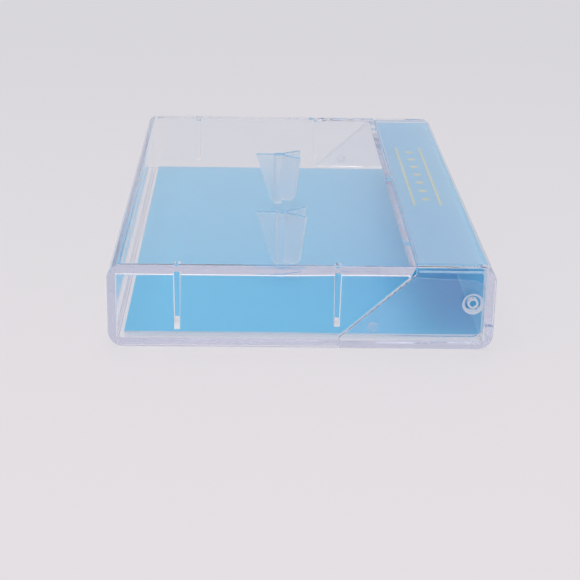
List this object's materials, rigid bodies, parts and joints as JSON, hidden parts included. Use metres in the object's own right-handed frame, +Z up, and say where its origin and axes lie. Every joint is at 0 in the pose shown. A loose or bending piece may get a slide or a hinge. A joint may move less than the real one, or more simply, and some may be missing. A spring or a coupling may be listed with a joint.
{
  "type": "hinged clear storage case",
  "caption": "Flat clear plastic storage case with a hinged tray, finned hub prongs inside and a folded blue card insert along its floor, spine and lip.",
  "frame": {"origin": "middle of the underside of the closed case", "axes": "+X from the opening edge to the spine, +Y along the length, +Z up out of the tray's panel"},
  "size_m": [0.07, 0.109, 0.0158],
  "materials": {
    "cover_plastic": "clear moulded polystyrene, glossy",
    "tray_plastic": "clear moulded polystyrene, glossy",
    "card": "coated printed card, satin"
  },
  "bodies": {
    "cover": {"cover_half": "cover_plastic", "card_insert": "card"},
    "tray": {"tray_half": "tray_plastic"}
  },
  "joints": [
    {"name": "tray_hinge", "type": "hinge", "parent": "cover", "child": "tray", "pos_m": [0.03095, 0, 0.0089], "axis": [0, 1, 0], "range_deg": [0, 180]}
  ]
}
